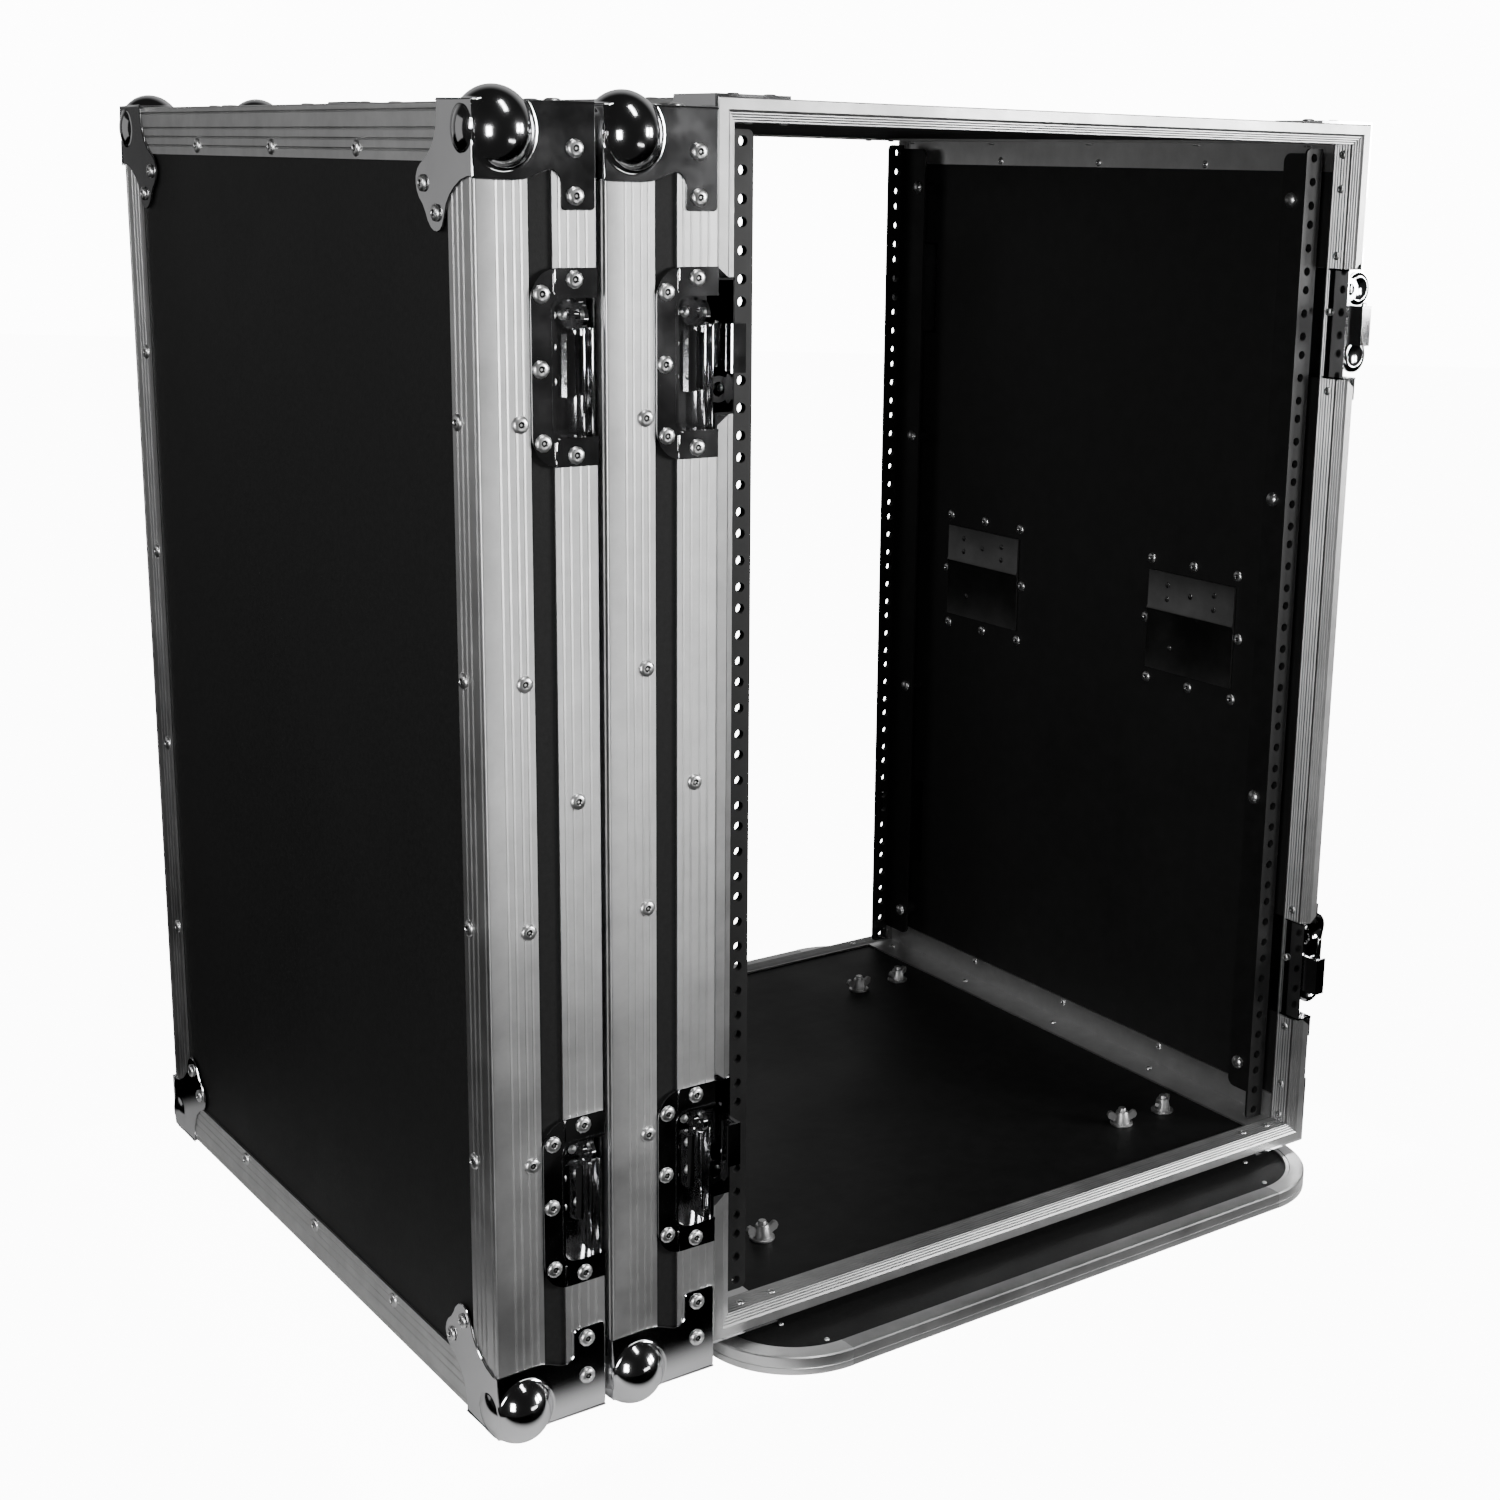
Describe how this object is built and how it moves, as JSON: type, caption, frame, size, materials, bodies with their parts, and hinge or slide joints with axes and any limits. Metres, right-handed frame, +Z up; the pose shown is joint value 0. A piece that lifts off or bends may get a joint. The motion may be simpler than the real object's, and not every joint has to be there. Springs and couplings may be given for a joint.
{
  "type": "equipment rack case",
  "caption": "Open-ended 19 inch equipment rack case on a base board, with butterfly latches, side handles and two removable lids stood beside it.",
  "frame": {"origin": "centre of the base board's underside, which rests on the floor", "axes": "+Z up, -Y out of the case's front opening, -X towards the lids"},
  "size_m": [0.7148, 0.615, 0.765],
  "materials": {
    "black_laminate": "black laminate on plywood, fine texture",
    "ribbed_aluminium": "satin extruded, ribbed along its length",
    "chrome": "bright chromed pressed steel",
    "black_steel": "semi-matt black",
    "black_rubber": "matt"
  },
  "bodies": {
    "case": {"left_panel": "black_laminate", "right_panel": "black_laminate", "top_panel": "black_laminate", "floor_panel": "black_laminate", "front_frame": "ribbed_aluminium", "rear_frame": "ribbed_aluminium", "edge_angle_top_left": "ribbed_aluminium", "inner_angle_top_left": "ribbed_aluminium", "edge_angle_top_right": "ribbed_aluminium", "inner_angle_top_right": "ribbed_aluminium", "edge_angle_bottom_left": "ribbed_aluminium", "inner_angle_bottom_left": "ribbed_aluminium", "edge_angle_bottom_right": "ribbed_aluminium", "inner_angle_bottom_right": "ribbed_aluminium", "rack_rail_front_left": "black_steel", "rack_rail_front_right": "black_steel", "rack_rail_rear_left": "black_steel", "rack_rail_rear_right": "black_steel", "latch_dish_front_left_lower": "chrome", "latch_dish_front_left_upper": "chrome", "latch_dish_front_right_lower": "chrome", "latch_dish_front_right_upper": "chrome", "latch_dish_rear_left_lower": "chrome", "latch_dish_rear_left_upper": "chrome", "latch_dish_rear_right_lower": "chrome", "latch_dish_rear_right_upper": "chrome", "handle_dish_front_left": "chrome", "handle_dish_front_right": "chrome", "handle_dish_rear_left": "chrome", "handle_dish_rear_right": "chrome", "base_board": "black_laminate", "board_edging": "ribbed_aluminium"},
    "wing_front_left_lower": {"latch_wing_front_left_lower": "chrome"},
    "wing_front_left_upper": {"latch_wing_front_left_upper": "chrome"},
    "wing_front_right_lower": {"latch_wing_front_right_lower": "chrome"},
    "wing_front_right_upper": {"latch_wing_front_right_upper": "chrome"},
    "wing_rear_left_lower": {"latch_wing_rear_left_lower": "chrome"},
    "wing_rear_left_upper": {"latch_wing_rear_left_upper": "chrome"},
    "wing_rear_right_lower": {"latch_wing_rear_right_lower": "chrome"},
    "wing_rear_right_upper": {"latch_wing_rear_right_upper": "chrome"},
    "grip_front_left": {"handle_grip_front_left": "black_rubber"},
    "grip_rear_left": {"handle_grip_rear_left": "black_rubber"},
    "grip_front_right": {"handle_grip_front_right": "black_rubber"},
    "grip_rear_right": {"handle_grip_rear_right": "black_rubber"},
    "lid_1": {"lid_1_shell": "black_laminate", "lid_1_face_trim": "ribbed_aluminium", "lid_1_frame": "ribbed_aluminium", "lid_1_corner_top_front": "chrome", "lid_1_corner_top_rear": "chrome", "lid_1_corner_bottom_front": "chrome", "lid_1_corner_bottom_rear": "chrome"},
    "lid_2": {"lid_2_shell": "black_laminate", "lid_2_face_trim": "ribbed_aluminium", "lid_2_frame": "ribbed_aluminium", "lid_2_corner_top_front": "chrome", "lid_2_corner_top_rear": "chrome", "lid_2_corner_bottom_front": "chrome", "lid_2_corner_bottom_rear": "chrome"}
  },
  "joints": [
    {"name": "wing_fold_front_left_lower", "type": "hinge", "parent": "case", "child": "wing_front_left_lower", "pos_m": [-0.2593, -0.2395, 0.1525], "axis": [0, 0, -1], "range_deg": [0, 90]},
    {"name": "wing_fold_front_left_upper", "type": "hinge", "parent": "case", "child": "wing_front_left_upper", "pos_m": [-0.2593, -0.2395, 0.6275], "axis": [0, 0, -1], "range_deg": [0, 90]},
    {"name": "wing_fold_front_right_lower", "type": "hinge", "parent": "case", "child": "wing_front_right_lower", "pos_m": [0.2593, -0.2395, 0.1525], "axis": [0, 0, 1], "range_deg": [0, 90]},
    {"name": "wing_fold_front_right_upper", "type": "hinge", "parent": "case", "child": "wing_front_right_upper", "pos_m": [0.2593, -0.2395, 0.6275], "axis": [0, 0, 1], "range_deg": [0, 90]},
    {"name": "wing_fold_rear_left_lower", "type": "hinge", "parent": "case", "child": "wing_rear_left_lower", "pos_m": [-0.2593, 0.2395, 0.1525], "axis": [0, 0, 1], "range_deg": [0, 90]},
    {"name": "wing_fold_rear_left_upper", "type": "hinge", "parent": "case", "child": "wing_rear_left_upper", "pos_m": [-0.2593, 0.2395, 0.6275], "axis": [0, 0, 1], "range_deg": [0, 90]},
    {"name": "wing_fold_rear_right_lower", "type": "hinge", "parent": "case", "child": "wing_rear_right_lower", "pos_m": [0.2593, 0.2395, 0.1525], "axis": [0, 0, -1], "range_deg": [0, 90]},
    {"name": "wing_fold_rear_right_upper", "type": "hinge", "parent": "case", "child": "wing_rear_right_upper", "pos_m": [0.2593, 0.2395, 0.6275], "axis": [0, 0, -1], "range_deg": [0, 90]},
    {"name": "grip_swing_front_left", "type": "hinge", "parent": "case", "child": "grip_front_left", "pos_m": [-0.2578, -0.125, 0.416], "axis": [0, 1, 0], "range_deg": [0, 90]},
    {"name": "grip_swing_rear_left", "type": "hinge", "parent": "case", "child": "grip_rear_left", "pos_m": [-0.2578, 0.125, 0.416], "axis": [0, 1, 0], "range_deg": [0, 90]},
    {"name": "grip_swing_front_right", "type": "hinge", "parent": "case", "child": "grip_front_right", "pos_m": [0.2578, -0.125, 0.416], "axis": [0, -1, 0], "range_deg": [0, 90]},
    {"name": "grip_swing_rear_right", "type": "hinge", "parent": "case", "child": "grip_rear_right", "pos_m": [0.2578, 0.125, 0.416], "axis": [0, -1, 0], "range_deg": [0, 90]},
    {"name": "lid_2_away", "type": "slide", "parent": "case", "child": "lid_2", "axis": [-1, 0, 0], "range_m": [0, 0.3]},
    {"name": "lid_1_away", "type": "slide", "parent": "lid_2", "child": "lid_1", "axis": [-1, 0, 0], "range_m": [0, 0.3]}
  ]
}
